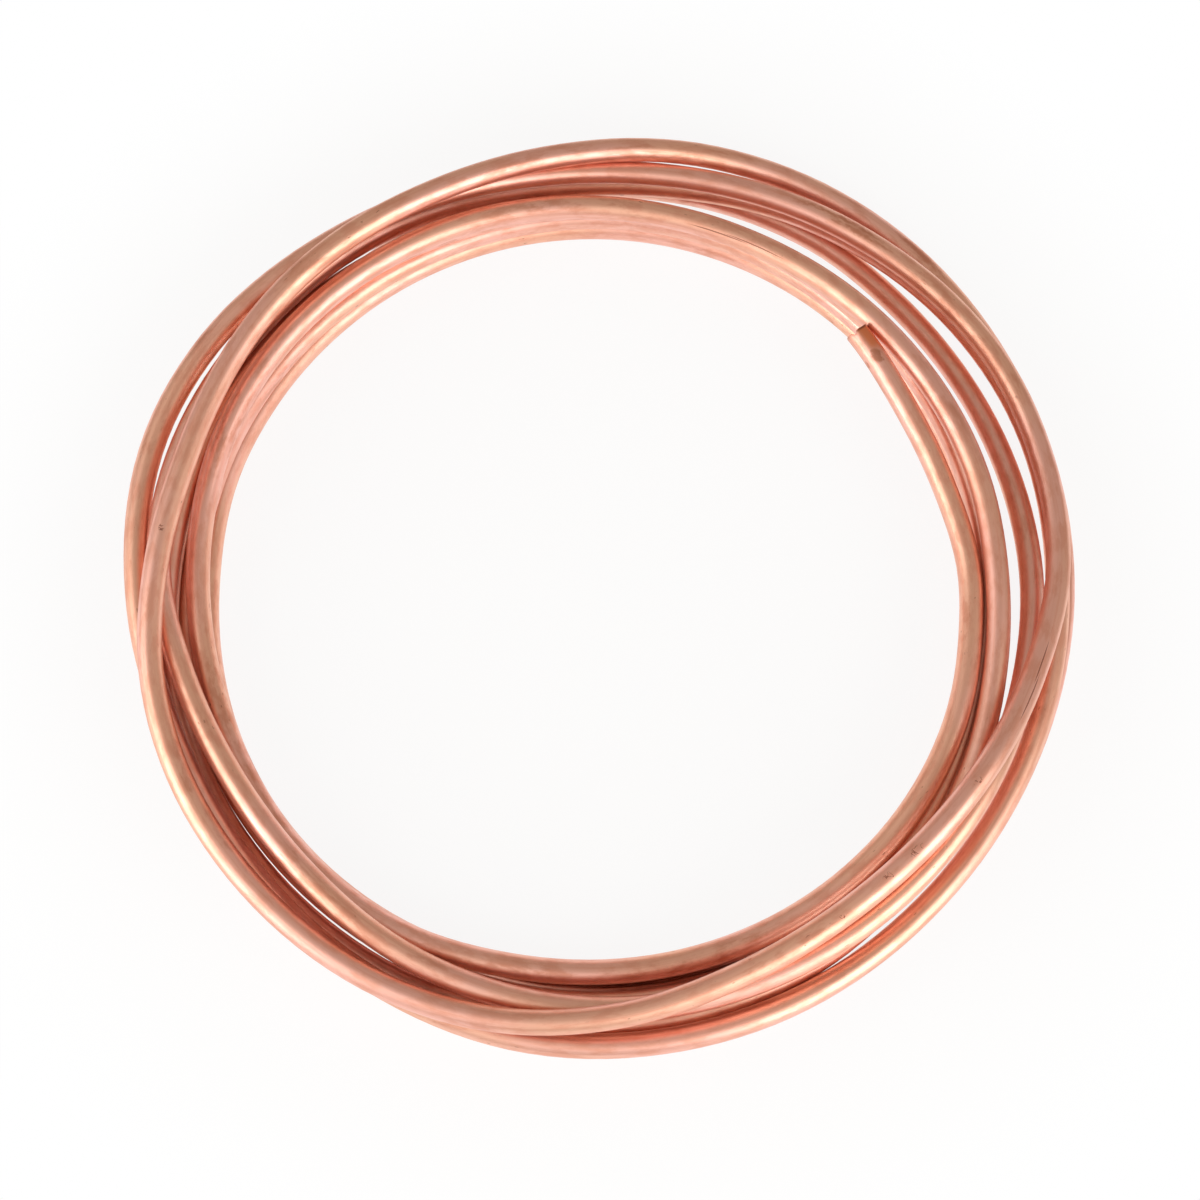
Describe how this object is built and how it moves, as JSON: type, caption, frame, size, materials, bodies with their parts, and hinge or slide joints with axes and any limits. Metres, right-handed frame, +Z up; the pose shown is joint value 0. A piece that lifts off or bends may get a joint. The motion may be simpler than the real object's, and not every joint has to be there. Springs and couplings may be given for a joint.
{
  "type": "copper tube coil",
  "caption": "Loose hand-wound coil of soft bare copper tube lying flat, its turns resting on and crossing one another, with both square-cut ends open.",
  "frame": {"origin": "middle of the coil's footprint, on the level ground that it lies on", "axes": "+Z up, along the axis of the coil; the tube runs counter-clockwise seen from above, from the outer cut end on the ground at 214 degrees from +X to the inner cut end on top at 45 degrees"},
  "size_m": [0.2502, 0.2472, 0.0358],
  "materials": {
    "copper": "satin, as drawn, with faint lengthwise lines and light handling marks"
  },
  "bodies": {
    "root": {"copper_tube": "copper"}
  },
  "joints": []
}
